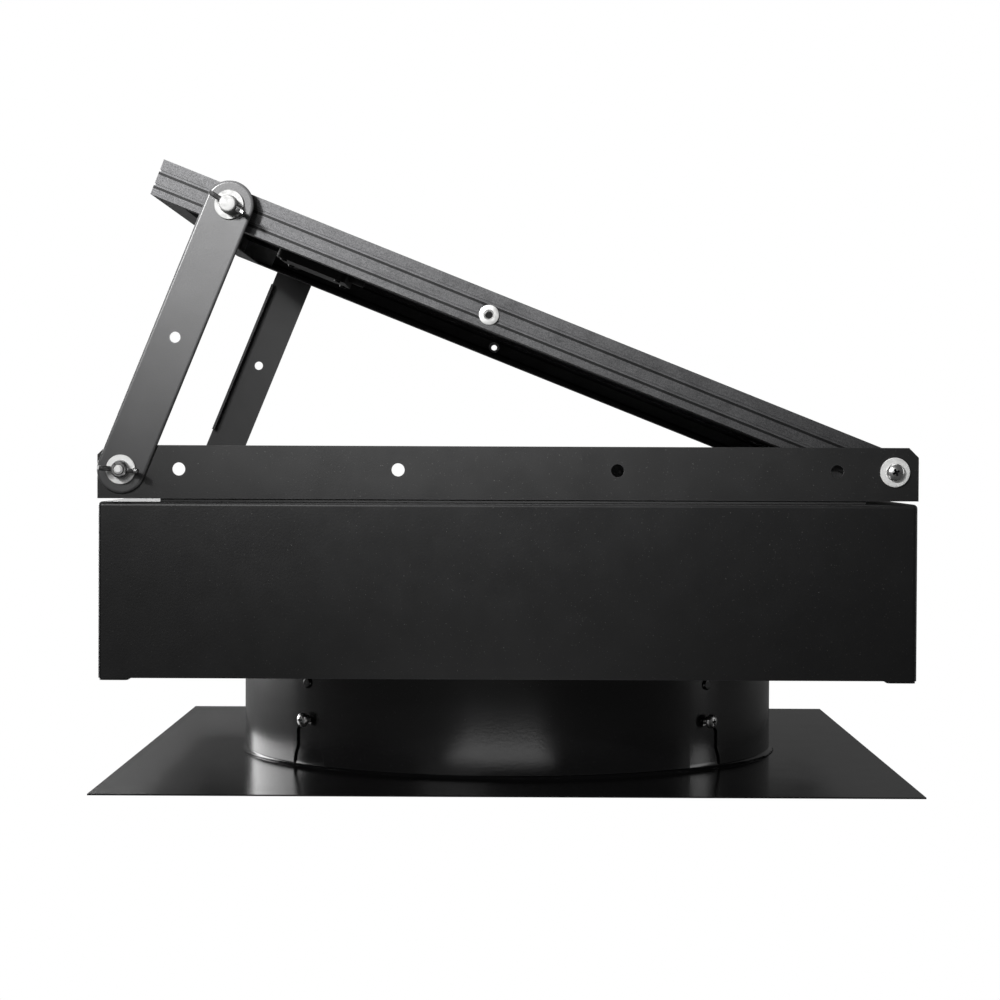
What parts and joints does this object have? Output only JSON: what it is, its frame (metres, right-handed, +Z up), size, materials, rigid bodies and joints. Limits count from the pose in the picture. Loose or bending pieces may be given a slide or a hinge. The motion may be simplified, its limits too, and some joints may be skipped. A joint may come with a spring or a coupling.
{
  "type": "solar attic fan",
  "caption": "Roof-mounted attic fan: square flashing, round neck and square hood, under a framed solar panel propped up on two arms with wing bolts.",
  "frame": {"origin": "centre of the flashing's underside, where it lies on the roof", "axes": "+Z up, away from the roof; +X towards the panel's hinge end, which is its low end; +Y towards the far side"},
  "size_m": [0.56, 0.5714, 0.4259],
  "materials": {
    "black_powder_coat": "gloss",
    "rail_coat": "satin",
    "galvanised": "satin",
    "zinc": "satin",
    "anodised": "satin",
    "aluminium": "satin",
    "black_plastic": "matte",
    "fan_plastic": "satin",
    "nylon": "satin",
    "rubber": "matte",
    "glass": "gloss",
    "silicon": "gloss",
    "motor_cast": "cast",
    "core_steel": "matte",
    "copper": "enamelled",
    "magnet": "matte"
  },
  "bodies": {
    "roof_base": {"flashing_plate": "black_powder_coat", "collar_nuts": "zinc", "neck_screws": "zinc"},
    "fan_head": {"neck_housing": "black_powder_coat", "venturi_ring": "galvanised", "outlet_screen": "black_powder_coat", "inlet_guard": "galvanised", "motor_bracket": "galvanised", "bracket_rivets": "black_powder_coat", "motor_can": "motor_cast", "motor_cap": "motor_cast", "motor_bearings": "zinc", "stator_core": "core_steel", "stator_coils": "copper", "motor_screws": "zinc", "hood_shell": "black_powder_coat", "hood_corner_plates": "black_powder_coat", "hood_brackets": "galvanised", "hood_rivets": "black_powder_coat", "cable_gland": "rubber", "rail_gaskets": "rubber", "rail_screws": "zinc", "rail_nuts": "zinc", "rail_near": "rail_coat", "rail_far": "rail_coat", "foot_stud_near": "zinc", "foot_stud_far": "zinc"},
    "fan_rotor": {"motor_shaft": "zinc", "rotor_magnets": "magnet", "fan_hub": "fan_plastic", "fan_blades": "fan_plastic", "hub_nut": "zinc"},
    "solar_panel": {"panel_frame_near": "anodised", "panel_frame_far": "anodised", "panel_frame_low": "anodised", "panel_frame_high": "anodised", "corner_cleats": "aluminium", "panel_glass": "glass", "solar_cells": "silicon", "panel_backsheet": "black_plastic", "panel_rivet_nuts": "zinc", "hinge_bushes": "nylon", "hinge_washers": "zinc", "hinge_screws": "zinc", "junction_box": "black_plastic", "junction_box_lid": "black_plastic", "junction_box_screws": "zinc", "junction_box_gland": "black_plastic"},
    "prop_arm_near": {"prop_arm_near": "rail_coat", "arm_spacer_near": "nylon"},
    "foot_washer_near": {"foot_washer_near": "zinc"},
    "foot_wing_nut_near": {"foot_wing_nut_near": "zinc"},
    "top_washer_near": {"top_washer_near": "zinc"},
    "top_wing_bolt_near": {"top_wing_bolt_near": "zinc"},
    "prop_arm_far": {"prop_arm_far": "rail_coat", "arm_spacer_far": "nylon"},
    "foot_washer_far": {"foot_washer_far": "zinc"},
    "foot_wing_nut_far": {"foot_wing_nut_far": "zinc"},
    "top_washer_far": {"top_washer_far": "zinc"},
    "top_wing_bolt_far": {"top_wing_bolt_far": "zinc"}
  },
  "joints": [
    {"name": "head_lift", "type": "slide", "parent": "roof_base", "child": "fan_head", "axis": [0, 0, 1], "range_m": [0, 0.06]},
    {"name": "fan_spin", "type": "hinge", "parent": "fan_head", "child": "fan_rotor", "pos_m": [0, 0, 0.128], "axis": [0, 0, 1], "continuous": true},
    {"name": "panel_tilt", "type": "hinge", "parent": "fan_head", "child": "solar_panel", "pos_m": [0.259, 0, 0.2176], "axis": [0, 1, 0], "range_deg": [-21.66, 68.34]},
    {"name": "arm_swing_near", "type": "hinge", "parent": "fan_head", "child": "prop_arm_near", "pos_m": [-0.259, -0.2708, 0.2176], "axis": [0, 1, 0], "range_deg": [-126, 58.5]},
    {"name": "foot_back_off_near", "type": "slide", "parent": "fan_head", "child": "foot_washer_near", "axis": [0, -1, 0], "range_m": [0, 0.002]},
    {"name": "foot_wing_turn_near", "type": "hinge", "parent": "foot_washer_near", "child": "foot_wing_nut_near", "pos_m": [-0.259, -0.2733, 0.2176], "axis": [0, -1, 0], "range_deg": [0, 725]},
    {"name": "top_back_off_near", "type": "slide", "parent": "prop_arm_near", "child": "top_washer_near", "axis": [0, -1, 0], "range_m": [0, 0.002]},
    {"name": "top_wing_turn_near", "type": "hinge", "parent": "top_washer_near", "child": "top_wing_bolt_near", "pos_m": [-0.18674, -0.2733, 0.39462], "axis": [0, -1, 0], "range_deg": [0, 725]},
    {"name": "arm_swing_far", "type": "hinge", "parent": "fan_head", "child": "prop_arm_far", "pos_m": [-0.259, 0.2708, 0.2176], "axis": [0, 1, 0], "range_deg": [-126, 58.5]},
    {"name": "foot_back_off_far", "type": "slide", "parent": "fan_head", "child": "foot_washer_far", "axis": [0, 1, 0], "range_m": [0, 0.002]},
    {"name": "foot_wing_turn_far", "type": "hinge", "parent": "foot_washer_far", "child": "foot_wing_nut_far", "pos_m": [-0.259, 0.2733, 0.2176], "axis": [0, 1, 0], "range_deg": [0, 725]},
    {"name": "top_back_off_far", "type": "slide", "parent": "prop_arm_far", "child": "top_washer_far", "axis": [0, 1, 0], "range_m": [0, 0.002]},
    {"name": "top_wing_turn_far", "type": "hinge", "parent": "top_washer_far", "child": "top_wing_bolt_far", "pos_m": [-0.18674, 0.2733, 0.39462], "axis": [0, 1, 0], "range_deg": [0, 725]}
  ],
  "couplings": [
    {"joint": "foot_wing_turn_near", "follows": "foot_back_off_near", "rad_per_m": 6283.2},
    {"joint": "top_wing_turn_near", "follows": "top_back_off_near", "rad_per_m": 6283.2},
    {"joint": "foot_wing_turn_far", "follows": "foot_back_off_far", "rad_per_m": 6283.2},
    {"joint": "top_wing_turn_far", "follows": "top_back_off_far", "rad_per_m": 6283.2}
  ]
}
